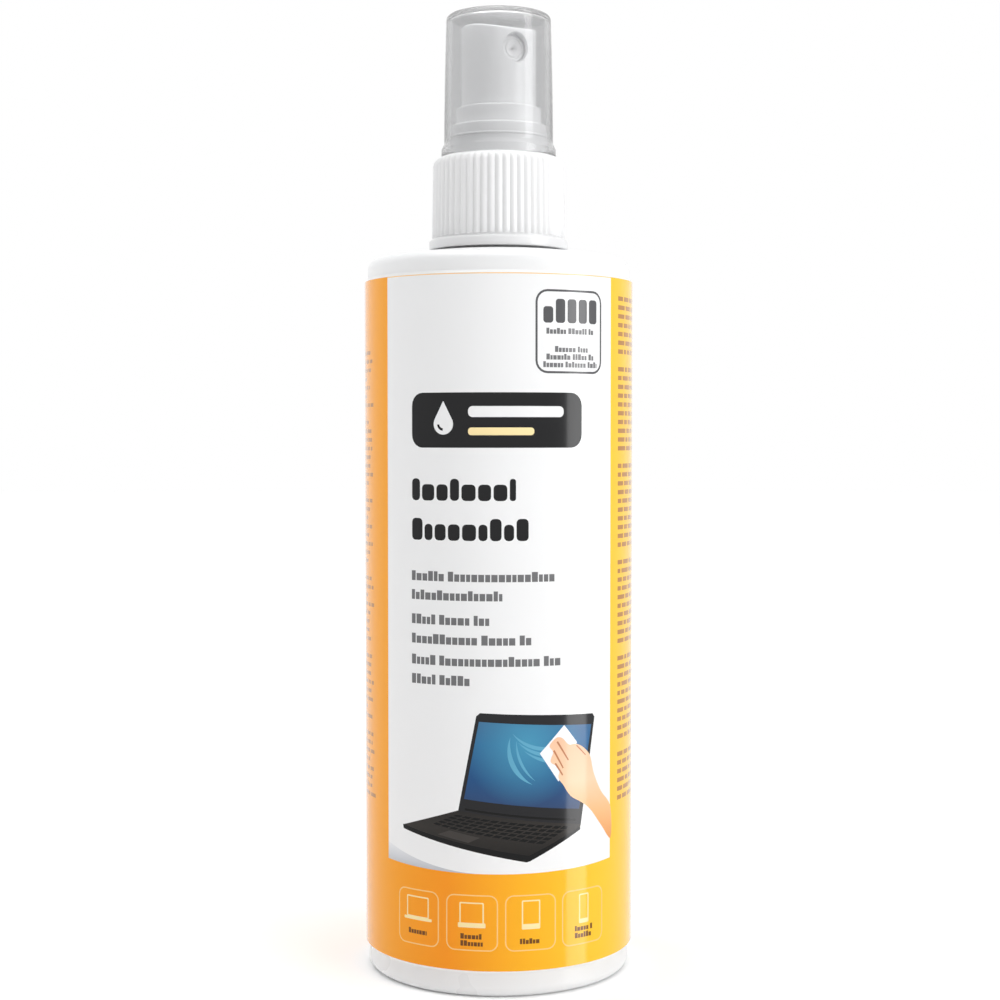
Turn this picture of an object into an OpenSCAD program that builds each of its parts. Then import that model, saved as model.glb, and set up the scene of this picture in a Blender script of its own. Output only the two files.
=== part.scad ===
// Fine-mist pump spray bottle for screen and lens cleaner.
// Origin at the centre of the base, +Z up. The front of the label faces -Y.

/* [Bottle] */
// Outside diameter of the bottle across the label panel
bottle_d = 51.96; // [51:0.01:53]
// How far the heel and shoulder bands sit inside the label panel
band_step = 0.5; // [0.3:0.1:0.8]
// Wall thickness of the blown bottle
bottle_wall = 1; // [0.8:0.1:1.2]
// Height of the bottle's shoulder at its crown, below the neck
shoulder_z = 139.7; // [139.4:0.1:139.8]
// Radius of the rounded edge between the side and the shoulder
shoulder_edge_r = 2.2; // [1.5:0.1:3]
// Radius of the rounded heel
heel_r = 2; // [1:0.5:3]
// Height of the push-up in the middle of the base
pushup_h = 2.2; // [1.5:0.1:2.6]

/* [Label] */
// Height of the label's lower edge
label_z = 5.2; // [4.8:0.1:6]
// Height of the label's upper edge
label_top_z = 133.2; // [132:0.1:133.5]
// Thickness of the label film
label_t = 0.1; // [0.08:0.01:0.15]

/* [Neck and thread] */
// Height of the neck's rim above the base
rim_z = 154.5; // [154.4:0.1:154.6]
// Diameter of the neck between the threads
neck_d = 21.9; // [21.7:0.1:22]
// Diameter over the crest of the neck's thread
thread_d = 23.7; // [23.5:0.1:23.8]
// Bore of the neck
neck_bore_d = 19.6; // [19:0.1:20]
// Pitch of the thread
thread_pitch = 3.175; // [3.1:0.025:3.2]
// Turns of thread on the neck
thread_turns = 1.5; // [1.25:0.25:1.5]

/* [Screw collar] */
// Diameter of the smooth flange at the collar's foot
collar_flange_d = 27.08; // [26.9:0.02:27.3]
// Diameter over the ribs at their foot
collar_rib_d = 26.06; // [25.9:0.02:26.2]
// How much smaller the collar is at the top of its ribs
collar_taper = 0.5; // [0.3:0.1:0.6]
// Number of grip ribs
collar_ribs = 56; // [40:1:60]
// Height of the collar's flat top
collar_top_z = 157.45; // [157.4:0.05:157.5]

/* [Pump] */
// Stroke of the button
stroke = 4.3; // [3.5:0.1:4.3]
// Bore of the metering chamber
chamber_d = 6.8; // [6.6:0.1:7]
// Outside diameter of the stem
stem_d = 4; // [3.8:0.1:4]
// Diameter of the inlet ball
ball_d = 3; // [2.8:0.1:3]
// Outside diameter of the dip tube
dip_tube_d = 4; // [3.8:0.1:4]
// Height of the dip tube's cut end above the table
dip_tube_z = 4.8; // [4.6:0.1:8]
// Turns of wire in the return spring
spring_turns = 8; // [7:1:9]

/* [Head] */
// Diameter of the turret's lower part, which holds the overcap
turret_d = 19; // [18.8:0.1:19]
// Diameter of the turret's upper ring, around the button
turret_ring_d = 16.74; // [16.6:0.02:16.9]
// Diameter of the button
button_d = 14.54; // [14.3:0.02:14.6]
// Height of the button's highest edge at rest
button_top_z = 182.8; // [182.5:0.1:182.9]
// Depth of the finger groove across the button's top
button_dish = 1.2; // [0.8:0.1:1.6]
// Height of the spray axis at rest
nozzle_z = 177.8; // [177.5:0.1:178]
// Turn of the nozzle away from the front, about +Z
nozzle_turn = 28; // [0:1:90]
// Diameter of the nozzle's recess
nozzle_d = 5.26; // [5:0.02:5.4]

/* [Overcap] */
// Diameter of the overcap's flared rim
cap_rim_d = 22.28; // [22.1:0.02:22.4]
// Diameter of the overcap above its rim
cap_foot_d = 21.2; // [21.1:0.02:21.3]
// Diameter of the overcap near its top
cap_top_d = 20.32; // [20.2:0.02:20.4]
// Height of the overcap's top
cap_top_z = 185; // [184.8:0.1:185.2]
// Wall thickness of the overcap
cap_wall = 0.88; // [0.8:0.02:0.9]

/* [Hidden] */
$fn = 180;
over = 0.1;                 // how far a cutting shape runs past what it cuts
gap = 0.03;                 // rest gap between faces of two moving pieces
slide_gap = 0.05;           // radial gap between sliding pieces

// bottle
panel_r = bottle_d / 2;
band_r = panel_r - band_step;
dome_r = 140;
dome_c = shoulder_z - dome_r;
base_ring_r = 20;
base_dome_r = (pow(base_ring_r, 2) + pow(pushup_h, 2)) / (2 * pushup_h);
panel_chamfer = 0.2;
neck_r = neck_d / 2;
neck_fillet = 0.8;
rim_round = 0.4;
fluid_gap = 0.1;
pump_clearance = 0.4;       // between the liquid and the pump that hangs in it
fluid_top_z = 131.5;

// thread, a helix of trapezoids: the neck's ridge and the collar's ridge mesh
ridge_embed = 0.25;
neck_ridge_root = 1.9;
neck_ridge_crest = 0.8;
neck_ridge_z = rim_z - 1.9 - thread_turns * thread_pitch;
collar_ridge_root = 1.4;
collar_ridge_crest = 0.8;
collar_ridge_turns = 1.25;
collar_ridge_start = 100;
collar_ridge_lift = 0.3;    // the tightened collar's ridge bears up on the neck's ridge
ridge_steps = 48;           // straight steps in one turn
ridge_fade = 25;            // degrees over which a ridge rises from the wall

// screw collar
collar_z = 139.55;
collar_flange_h = 1.9;
collar_rib_z = 141.9;
collar_rib_depth = 0.3;
collar_edge_r = 1.8;
collar_core_foot_r = collar_rib_d / 2 - collar_rib_depth;
collar_core_top_r = collar_core_foot_r - collar_taper / 2;
collar_side_top_z = collar_top_z - collar_edge_r;
collar_tilt = atan((collar_taper / 2) / (collar_side_top_z - collar_z));
collar_rib_w = PI * collar_rib_d / collar_ribs;
collar_bore_r = 12.1;
collar_seat_r = 11.5;
collar_roof_t = 1.1;
collar_hole_r = 8.35;

// pump, from the flange down
gasket_t = 0.7;
flange_z = rim_z + gasket_t;
flange_t = 1;
flange_r = 11;
hub_r = 8.1;
hub_bore_r = 6.9;
hub_floor_z = flange_z + flange_t + 0.7;
hub_top_z = 159.35;
snap_z = 158.3;
snap_r = 0.25;
throat_r = 4.4;
throat_z = 154.4;
seal_t = 0.8;
barrel_r = 4.6;
upper_barrel_r = 6.4;
chamber_r = chamber_d / 2;
cage_z = 132;
cage_t = 1.4;
cage_stub_r = 2;
cage_stub_h = 1.2;
cage_slot_w = 0.9;
seat_z = 128.2;
seat_r = 1;
seat_top_r = 2.4;
seat_h = 1.6;
socket_z = 119;
socket_r = 2.95;
socket_top_z = 126.5;
vent_r = 0.4;
vent_z = 149.5;

// ball resting in its conical seat
ball_r = ball_d / 2;
seat_slant = norm([seat_top_r - seat_r, seat_h]);
ball_z = seat_z + (ball_r * seat_slant - seat_r * seat_h) / (seat_top_r - seat_r) + gap;

// dip tube
dip_tube_r = dip_tube_d / 2;
dip_tube_bore_r = dip_tube_r - 0.65;
dip_tube_cut = 25;          // slope of the tube's cut end

// stem, outlet valve and piston
stem_r = stem_d / 2;
stem_bore_r = 1.3;
stem_top_z = 172.9;
stem_foot_z = 150.3;
stem_collar_r = 3;
stem_collar_t = 0.8;
head_z = 146;
head_r = 2.9;
head_t = 0.6;
cone_r = 2.6;
cone_h = 1.4;
valve_neck_r = 1.1;
valve_top_z = 155;
valve_flute_w = 0.9;
piston_bore_r = 1.6;
piston_z = head_z + head_t + cone_h * (cone_r - piston_bore_r) / (cone_r - valve_neck_r) + gap;
piston_r = chamber_r - slide_gap;
piston_waist_r = piston_r - 0.45;
piston_lip_h = 1;
piston_step_z = 149.6;
piston_h = 4.2;

// return spring
spring_r = 2.5;
wire_r = 0.3;
spring_sides = 8;
spring_steps = 24;          // straight steps in one turn
spring_z = cage_z + cage_t + wire_r + gap;
spring_len = head_z - wire_r - gap - spring_z;
spring_dead = 0.9;          // closed turns at each end
spring_dead_pitch = 2 * wire_r + gap;

// turret
turret_z = collar_top_z + 0.15;
turret_step_z = 163.5;
turret_top_z = 167;
turret_r = turret_d / 2;
turret_ring_r = turret_ring_d / 2;
turret_web_z = hub_top_z + slide_gap;
turret_floor_z = 160.3;
guide_r = throat_r - slide_gap;
guide_bore_r = stem_r + 0.12;
button_r = button_d / 2;
turret_bore_r = button_r + 0.2;
turret_round = 0.4;
cap_bead_z = 161.2;
cap_bead_r = 0.3;

// button and nozzle
button_z = turret_floor_z + 0.3 + stroke;
skirt_t = 0.95;
socket_r_out = stem_r + 1.3;
button_socket_z = 167.5;
button_web_z = stem_top_z + 0.1;
button_feed_r = 1.1;
button_edge_r = 0.5;
dish_r = (pow(button_r, 2) + pow(button_dish, 2)) / (2 * button_dish);
nozzle_r = nozzle_d / 2;
recess_y = 2.9;             // distance of the recess floor from the axis
post_r = 1.35;
post_y = 5;
insert_y = 3.3;
insert_face_y = 5.8;
insert_wall = 0.75;
orifice_r = 0.2;
cone_mouth_r = 0.9;
cone_depth = 0.45;

// overcap
cap_z = 157.6;
cap_rim_h = 1.7;
cap_flare_h = 0.8;
cap_top_edge_r = 1;
cap_rim_r = cap_rim_d / 2;
cap_foot_r = cap_foot_d / 2;
cap_top_r = cap_top_d / 2;
cap_shoulder_z = cap_top_z - cap_top_edge_r;

// the sharp corner left of [x, z] that a radius r takes away; sx, sz point outwards
module corner_bite(x, z, r, sx, sz) {
    translate([x - sx * r, z - sz * r])
        difference() {
            translate([sx > 0 ? 0 : -r - over, sz > 0 ? 0 : -r - over])
                square(r + over);
            circle(r);
        }
}

// a cylinder between two heights
module rod(r, z1, z2) {
    translate([0, 0, z1])
        cylinder(r = r, h = z2 - z1);
}

// points round one end of a trapezoidal ridge: root below, crest, root above
function ridge_ring(a, z, r_root, r_crest, w_root, w_crest) =
    [for (p = [[r_root, -w_root], [r_crest, -w_crest], [r_crest, w_crest], [r_root, w_root]])
        [p[0] * cos(a), p[0] * sin(a), z + p[1] / 2]];

// a helical ridge that grows from the wall at both ends
module ridge(r_wall, r_root, r_crest, w_root, w_crest, z, turns, start) {
    n = round(turns * ridge_steps);
    rings = [for (i = [0:n])
        let (a = start + 360 * turns * i / n,
             up = min(1, 360 * turns * min(i, n - i) / n / ridge_fade))
        ridge_ring(a, z + thread_pitch * a / 360, r_root, r_wall + up * (r_crest - r_wall),
                   w_root, w_root + up * (w_crest - w_root))];
    sweep(rings);
}

// a closed solid through a list of rings that all have the same number of points
module sweep(rings) {
    n = len(rings);
    m = len(rings[0]);
    centre = [mean(rings[0]), mean(rings[n - 1])];
    points = concat([for (ring = rings) each ring], centre);
    sides = [for (i = [0:n - 2], j = [0:m - 1])
        let (k = (j + 1) % m, a = i * m + j, b = i * m + k)
        each [[a, a + m, b + m], [a, b + m, b]]];
    first = [for (j = [0:m - 1]) [n * m, j, (j + 1) % m]];
    last = [for (j = [0:m - 1]) [n * m + 1, (n - 1) * m + (j + 1) % m, (n - 1) * m + j]];
    polyhedron(points, concat(sides, first, last));
}

// the middle of a ring of points
function mean(ring) = [for (k = [0:2]) ring_sum(ring, k) / len(ring)];
function ring_sum(ring, k, i = 0) = i == len(ring) ? 0 : ring[i][k] + ring_sum(ring, k, i + 1);

// the bottle's outer or inner outline below the neck, inset by t
module bottle_outline(t) {
    side_r = band_r - t;
    edge_r = shoulder_edge_r - t / 2;
    edge_c = [side_r - edge_r, dome_c + sqrt(pow(dome_r - t - edge_r, 2) - pow(side_r - edge_r, 2))];
    edge_top = [0, dome_c] + (edge_c - [0, dome_c]) * (dome_r - t) / (dome_r - t - edge_r);
    difference() {
        intersection() {
            union() {
                translate([0, t])
                    square([side_r, shoulder_z]);
                panel_outline(panel_r - t, side_r);
            }
            translate([0, dome_c])
                circle(dome_r - t, $fn = 360);
        }
        difference() {
            polygon([edge_c, [side_r, edge_c[1]], [side_r + over, edge_c[1]],
                     [side_r + over, shoulder_z], [edge_top[0], shoulder_z], edge_top]);
            translate(edge_c)
                circle(edge_r);
        }
        corner_bite(side_r, t, heel_r - t / 2, 1, -1);
        translate([0, pushup_h - base_dome_r + t])
            circle(base_dome_r, $fn = 360);
    }
}

// the label panel, which stands out from the bands above and below it
module panel_outline(r, side_r) {
    step = r - side_r;
    polygon([[0, label_z - step], [side_r, label_z - step], [r - panel_chamfer, label_z - panel_chamfer],
             [r, label_z], [r, label_top_z], [r - panel_chamfer, label_top_z + panel_chamfer],
             [side_r, label_top_z + step], [0, label_top_z + step]]);
}

module bottle() {
    foot_z = shoulder_z - pow(neck_r, 2) / (2 * dome_r);
    color("white") {
        rotate_extrude()
            difference() {
                union() {
                    bottle_outline(0);
                    translate([0, foot_z - 1])
                        square([neck_r, rim_z - foot_z + 1]);
                    difference() {
                        translate([0, foot_z - 1])
                            square([neck_r + neck_fillet, neck_fillet + 1]);
                        translate([neck_r + neck_fillet, foot_z + neck_fillet])
                            circle(neck_fillet);
                    }
                }
                bottle_outline(bottle_wall);
                translate([0, shoulder_z - 2 * bottle_wall])
                    square([neck_bore_d / 2, rim_z]);
                corner_bite(neck_r, rim_z, rim_round, 1, 1);
            }
        ridge(neck_r, neck_r - ridge_embed, thread_d / 2, neck_ridge_root, neck_ridge_crest,
              neck_ridge_z, thread_turns, 0);
    }
}

module label() {
    color("orange")
        difference() {
            rod(panel_r + label_t, label_z, label_top_z);
            rod(panel_r, label_z - over, label_top_z + over);
        }
}

module cleaning_fluid() {
    inset = bottle_wall + fluid_gap;
    color([0.85, 0.93, 1])
        rotate_extrude()
            difference() {
                intersection() {
                    bottle_outline(inset);
                    square([panel_r, fluid_top_z]);
                }
                square([dip_tube_r + pump_clearance, fluid_top_z + over]);
                translate([0, socket_z - pump_clearance])
                    square([socket_r + pump_clearance, fluid_top_z]);
                translate([0, socket_top_z - pump_clearance])
                    square([barrel_r + pump_clearance, fluid_top_z]);
            }
}

// one grip rib, a bar whose crest leans in with the collar's taper
module grip_rib() {
    w = collar_rib_w;
    translate([collar_rib_d / 2, 0, collar_rib_z])
        rotate([0, -collar_tilt, 0])
            linear_extrude(collar_top_z - collar_rib_z)
                polygon([[-0.8, -0.3 * w], [-collar_rib_depth, -0.3 * w], [-0.1, -0.2 * w], [0, -0.08 * w],
                         [0, 0.08 * w], [-0.1, 0.2 * w], [-collar_rib_depth, 0.3 * w], [-0.8, 0.3 * w]]);
}

// half outline of the collar's skirt, rounded into its flat top
module collar_outline(foot_r, top_r) {
    difference() {
        polygon([[0, collar_z], [foot_r, collar_z], [top_r, collar_side_top_z], [top_r, collar_top_z],
                 [0, collar_top_z]]);
        corner_bite(top_r, collar_top_z, collar_edge_r, 1, 1);
    }
}

module screw_collar() {
    rib_top_r = (collar_rib_d - collar_taper) / 2;
    ridge_z = neck_ridge_z - thread_pitch / 2 + collar_ridge_lift;
    roof_z = collar_top_z - collar_roof_t;
    color("white") {
        difference() {
            union() {
                rotate_extrude()
                    difference() {
                        union() {
                            collar_outline(collar_core_foot_r, collar_core_top_r);
                            translate([0, collar_z])
                                square([collar_flange_d / 2, collar_flange_h]);
                        }
                        corner_bite(collar_flange_d / 2, collar_z + collar_flange_h, 0.35, 1, 1);
                        corner_bite(collar_flange_d / 2, collar_z, 0.35, 1, -1);
                    }
                intersection() {
                    for (i = [0:collar_ribs - 1])
                        rotate([0, 0, 360 * i / collar_ribs])
                            grip_rib();
                    rotate_extrude()
                        collar_outline(collar_rib_d / 2, rib_top_r);
                }
            }
            rotate_extrude()
                polygon([[0, collar_z - over], [collar_bore_r + 0.3, collar_z - over],
                         [collar_bore_r, collar_z + 0.6], [collar_bore_r, flange_z - 1.2],
                         [collar_seat_r, flange_z - 0.6], [collar_seat_r, roof_z - 0.4],
                         [collar_seat_r - 0.4, roof_z], [collar_hole_r, roof_z],
                         [collar_hole_r, collar_top_z + over],
                         [0, collar_top_z + over]]);
        }
        ridge(collar_bore_r, collar_bore_r + ridge_embed, neck_r + 0.3, collar_ridge_root,
              collar_ridge_crest, ridge_z, collar_ridge_turns, collar_ridge_start);
    }
}

module neck_gasket() {
    color("lightgrey")
        difference() {
            rod(flange_r - 0.1, rim_z, flange_z);
            rod(upper_barrel_r + slide_gap, rim_z - over, flange_z + over);
        }
}

module pump_housing() {
    color([0.93, 0.93, 0.9])
        difference() {
            rotate_extrude()
                difference() {
                    union() {
                        polygon([[0, socket_z], [socket_r, socket_z], [socket_r, socket_top_z],
                                 [barrel_r, seat_z + 1], [barrel_r, throat_z - 3],
                                 [upper_barrel_r, throat_z - 1.5], [upper_barrel_r, flange_z],
                                 [0, flange_z]]);
                        translate([0, flange_z])
                            square([flange_r, flange_t]);
                        translate([0, flange_z])
                            square([hub_r, hub_top_z - flange_z]);
                        translate([hub_r - slide_gap, snap_z])
                            circle(snap_r);
                    }
                    polygon([[0, socket_z - over], [dip_tube_r + gap, socket_z - over],
                             [dip_tube_r + gap, socket_top_z], [seat_r, socket_top_z], [seat_r, seat_z],
                             [seat_top_r, seat_z + seat_h], [seat_top_r, cage_z], [chamber_r, cage_z],
                             [chamber_r, throat_z], [throat_r, throat_z], [throat_r, hub_floor_z],
                             [hub_bore_r, hub_floor_z], [hub_bore_r, hub_top_z + over],
                             [0, hub_top_z + over]]);
                }
            translate([chamber_r - 1, 0, vent_z])
                rotate([0, 90, 0])
                    cylinder(r = vent_r, h = barrel_r);
        }
}

module stem_seal() {
    color("dimgray")
        difference() {
            rod(throat_r - slide_gap, throat_z, throat_z + seal_t);
            rod(stem_r + slide_gap, throat_z - over, throat_z + seal_t + over);
        }
}

module turret() {
    color("white")
        rotate_extrude()
            difference() {
                union() {
                    square_between(guide_bore_r, turret_z, turret_r, turret_step_z);
                    square_between(guide_bore_r, throat_z + seal_t, guide_r, turret_z);
                    square_between(turret_bore_r, turret_step_z, turret_ring_r, turret_top_z);
                    translate([turret_r - 0.15, cap_bead_z])
                        circle(cap_bead_r);
                }
                square_between(guide_r, turret_z - over, hub_r + slide_gap, turret_web_z);
                square_between(0, turret_floor_z, turret_bore_r, turret_top_z + over);
                translate([hub_r - slide_gap, snap_z])
                    circle(snap_r + slide_gap);
                corner_bite(turret_r, turret_step_z, turret_round, 1, 1);
                corner_bite(turret_ring_r, turret_top_z, turret_round, 1, 1);
            }
}

// a rectangle between two radii and two heights
module square_between(r1, z1, r2, z2) {
    translate([r1, z1])
        square([r2 - r1, z2 - z1]);
}

module stem() {
    color("white")
        difference() {
            union() {
                rod(stem_r, stem_foot_z, stem_top_z);
                rod(stem_collar_r, throat_z - gap - stem_collar_t, throat_z - gap);
            }
            rod(stem_bore_r, stem_foot_z - over, stem_top_z + over);
        }
}

module outlet_valve() {
    color("gainsboro")
        difference() {
            union() {
                rod(cage_stub_r, head_z - cage_stub_h, head_z);
                rod(head_r, head_z, head_z + head_t);
                translate([0, 0, head_z + head_t])
                    cylinder(r1 = cone_r, r2 = valve_neck_r, h = cone_h);
                rod(valve_neck_r, head_z + head_t + cone_h, stem_foot_z);
                rod(stem_bore_r - gap, stem_foot_z, valve_top_z);
            }
            for (a = [0:120:240])
                rotate([0, 0, a])
                    translate([valve_neck_r - 0.25, -valve_flute_w / 2, stem_foot_z - 1])
                        cube([1, valve_flute_w, valve_top_z - stem_foot_z + 2]);
        }
}

module piston() {
    top_z = piston_z + piston_h;
    color("ivory")
        rotate_extrude()
            polygon([[piston_bore_r, piston_z], [piston_r, piston_z], [piston_r, piston_z + piston_lip_h],
                     [piston_waist_r, piston_z + piston_lip_h + 0.4], [piston_waist_r, top_z - 2.1],
                     [piston_r, top_z - 1.7], [piston_r, top_z - 0.7], [piston_waist_r, top_z],
                     [stem_r + slide_gap, top_z], [stem_r + slide_gap, piston_step_z],
                     [piston_bore_r, piston_step_z]]);
}

// height of the wire after t turns: closed turns at both ends, open turns between
function spring_rise(t) =
    let (open_turns = spring_turns - 2 * spring_dead,
         open_pitch = (spring_len - 2 * spring_dead * spring_dead_pitch) / open_turns)
    min(t, spring_dead) * spring_dead_pitch
    + max(0, min(t - spring_dead, open_turns)) * open_pitch
    + max(0, t - spring_dead - open_turns) * spring_dead_pitch;

module return_spring() {
    n = spring_turns * spring_steps;
    color("silver")
        sweep([for (i = [0:n])
            let (a = 360 * i / spring_steps, z = spring_z + spring_rise(i / spring_steps))
            [for (j = [0:spring_sides - 1])
                let (b = -360 * j / spring_sides, r = spring_r + wire_r * cos(b))
                [r * cos(a), r * sin(a), z + wire_r * sin(b)]]]);
}

module ball_cage() {
    color("gainsboro")
        difference() {
            union() {
                rod(chamber_r - slide_gap, cage_z, cage_z + cage_t);
                rod(cage_stub_r, cage_z, cage_z + cage_t + cage_stub_h);
            }
            rod(0.6, cage_z - over, cage_z + cage_t + cage_stub_h + over);
            for (a = [0:90:270])
                rotate([0, 0, a])
                    translate([1.2, -cage_slot_w / 2, cage_z - over])
                        cube([1.6, cage_slot_w, cage_t + cage_stub_h + 2 * over]);
        }
}

module inlet_ball() {
    color("silver")
        translate([0, 0, ball_z])
            sphere(ball_r);
}

module dip_tube() {
    color("white")
        difference() {
            rod(dip_tube_r, dip_tube_z, socket_top_z - slide_gap);
            rod(dip_tube_bore_r, dip_tube_z - over, socket_top_z + over);
            translate([-dip_tube_r, 0, dip_tube_z])
                rotate([0, -dip_tube_cut, 0])
                    translate([-dip_tube_d, -dip_tube_d, -2 * dip_tube_d])
                        cube([4 * dip_tube_d, 2 * dip_tube_d, 2 * dip_tube_d]);
        }
}

// a cylinder along the spray axis, between two distances from the button's axis
module spray_rod(r, y1, y2, z = nozzle_z) {
    translate([0, -y1, z])
        rotate([90, 0, 0])
            cylinder(r = r, h = y2 - y1);
}

module button() {
    color("white")
        rotate([0, 0, nozzle_turn])
            difference() {
                rotate_extrude()
                    difference() {
                        square_between(0, button_z, button_r, button_top_z);
                        square_between(socket_r_out, button_z - over, button_r - skirt_t, button_web_z);
                        square_between(0, button_z - over, socket_r_out, button_socket_z);
                        square_between(0, button_z - over, stem_r + gap, button_web_z);
                        square_between(0, button_web_z - over, button_feed_r, nozzle_z + post_r);
                        corner_bite(button_r, button_top_z, button_edge_r, 1, 1);
                    }
                translate([0, 0, button_top_z - button_dish + dish_r])
                    rotate([90, 0, 0])
                        cylinder(r = dish_r, h = 3 * button_r, center = true, $fn = 360);
                difference() {
                    spray_rod(nozzle_r, recess_y, 2 * button_r);
                    spray_rod(post_r, recess_y - over, post_y);
                }
                spray_rod(0.4, 0, recess_y + over, nozzle_z + post_r - 0.4);
            }
}

module nozzle_insert() {
    bore_r = post_r + slide_gap;
    color("white")
        rotate([0, 0, nozzle_turn])
            difference() {
                spray_rod(nozzle_r - gap, insert_y, insert_face_y);
                spray_rod(bore_r, insert_y - over, insert_face_y - insert_wall);
                spray_rod(orifice_r, insert_y, insert_face_y + over);
                translate([0, -insert_face_y - over / 2, nozzle_z])
                    rotate([-90, 0, 0])
                        cylinder(r1 = cone_mouth_r, r2 = orifice_r, h = cone_depth + over / 2);
            }
}

module overcap() {
    rim_top_z = cap_z + cap_rim_h;
    foot_z = rim_top_z + cap_flare_h;
    color([0.9, 0.92, 0.95, 0.4])
        rotate_extrude()
            difference() {
                union() {
                    polygon([[0, cap_z], [cap_rim_r, cap_z], [cap_rim_r, rim_top_z], [cap_foot_r, foot_z],
                             [cap_top_r, cap_shoulder_z], [cap_top_r, cap_top_z], [0, cap_top_z]]);
                }
                corner_bite(cap_top_r, cap_top_z, cap_top_edge_r, 1, 1);
                corner_bite(cap_rim_r, cap_z, 0.3, 1, -1);
                polygon([[0, cap_z - over], [cap_rim_r - cap_wall, cap_z - over],
                         [cap_rim_r - cap_wall, rim_top_z - 0.3], [cap_foot_r - cap_wall, foot_z],
                         [cap_top_r - cap_wall, cap_shoulder_z - 0.4],
                         [cap_top_r - cap_wall - 0.6, cap_top_z - cap_wall], [0, cap_top_z - cap_wall]]);
            }
}

bottle();
label();
cleaning_fluid();
screw_collar();
neck_gasket();
pump_housing();
stem_seal();
turret();
stem();
outlet_valve();
piston();
return_spring();
ball_cage();
inlet_ball();
dip_tube();
button();
nozzle_insert();
overcap();
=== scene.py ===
"""Looks of the fine-mist spray bottle: moulded shells, printed label, plastics, studio.

Lengths in this file are millimetres until a mesh is made; MM turns them into metres.
"""

import math
import random

import bmesh
import bpy
from mathutils import Matrix, Vector
from mathutils.geometry import delaunay_2d_cdt


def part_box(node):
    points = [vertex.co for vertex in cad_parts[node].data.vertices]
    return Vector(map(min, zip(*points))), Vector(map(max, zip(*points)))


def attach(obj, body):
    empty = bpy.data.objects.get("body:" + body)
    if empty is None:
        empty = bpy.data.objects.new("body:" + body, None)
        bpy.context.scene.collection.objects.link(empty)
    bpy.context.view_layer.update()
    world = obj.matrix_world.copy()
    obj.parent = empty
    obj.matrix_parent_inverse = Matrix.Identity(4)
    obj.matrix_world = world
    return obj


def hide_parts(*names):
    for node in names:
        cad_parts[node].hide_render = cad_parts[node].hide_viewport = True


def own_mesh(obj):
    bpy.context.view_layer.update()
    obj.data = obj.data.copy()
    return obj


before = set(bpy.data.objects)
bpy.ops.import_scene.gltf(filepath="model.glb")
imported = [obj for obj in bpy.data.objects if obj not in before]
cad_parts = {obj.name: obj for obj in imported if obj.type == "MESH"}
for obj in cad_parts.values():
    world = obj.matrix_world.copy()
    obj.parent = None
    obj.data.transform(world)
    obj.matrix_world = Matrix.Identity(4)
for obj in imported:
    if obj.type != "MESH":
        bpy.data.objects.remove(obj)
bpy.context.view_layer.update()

MM = 0.001
TAU = 2 * math.pi


def box_mm(node):
    """A CAD node's lowest and highest corners in millimetres."""
    low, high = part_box(node)
    return [c / MM for c in low], [c / MM for c in high]


# ---------------------------------------------------------------- sizes, from the CAD boxes

LABEL_LOW, LABEL_TOP = box_mm("label")[0][2], box_mm("label")[1][2]
LABEL_R = box_mm("label")[1][0]
PANEL_R = LABEL_R - 0.1
BAND_R = PANEL_R - 0.5
RIM_Z = box_mm("bottle")[1][2]
COLLAR_Z, COLLAR_TOP = box_mm("screw_collar")[0][2], box_mm("screw_collar")[1][2]
COLLAR_FLANGE_R = box_mm("screw_collar")[1][0]
TURRET_TOP = box_mm("turret")[1][2]
BUTTON_Z, BUTTON_TOP = box_mm("button")[0][2], box_mm("button")[1][2]
BUTTON_R = box_mm("button")[1][0]
CAP_Z, CAP_TOP = box_mm("overcap")[0][2], box_mm("overcap")[1][2]
CAP_RIM_R = box_mm("overcap")[1][0]

# sizes that no box gives, as in the CAD
NOZZLE_Z = 177.8
NOZZLE_TURN = math.radians(28)
NOZZLE_R = 2.63
THREAD_PITCH, THREAD_TURNS, THREAD_R = 3.175, 1.5, 11.85
PUMP_SEAT_Z = 155.2         # where the pump's flange rests on the gasket


# ---------------------------------------------------------------- mesh helpers

def arc(r, z, radius, start, end, steps=8):
    """Points of a round stretch of an outline, between two angles in degrees."""
    turns = [math.radians(start + (end - start) * i / steps) for i in range(steps + 1)]
    return [(r + radius * math.cos(a), z + radius * math.sin(a)) for a in turns]


def link_object(name, data):
    """A new object in the scene."""
    thing = bpy.data.objects.new(name, data)
    bpy.context.scene.collection.objects.link(thing)
    return thing


def shade(bm, sharp_deg=32):
    """Smooth shading with the sharp edges kept."""
    for face in bm.faces:
        face.smooth = True
    for edge in bm.edges:
        if len(edge.link_faces) == 2:
            edge.smooth = edge.calc_face_angle(0) < math.radians(sharp_deg)


def finish_mesh(name, mesh, material, sharp_deg=32):
    """Shading, one material, and an object in the scene."""
    bm = bmesh.new()
    bm.from_mesh(mesh)
    bmesh.ops.recalc_face_normals(bm, faces=bm.faces)
    shade(bm, sharp_deg)
    bm.to_mesh(mesh)
    bm.free()
    mesh.materials.append(material)
    return link_object(name, mesh)


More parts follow.
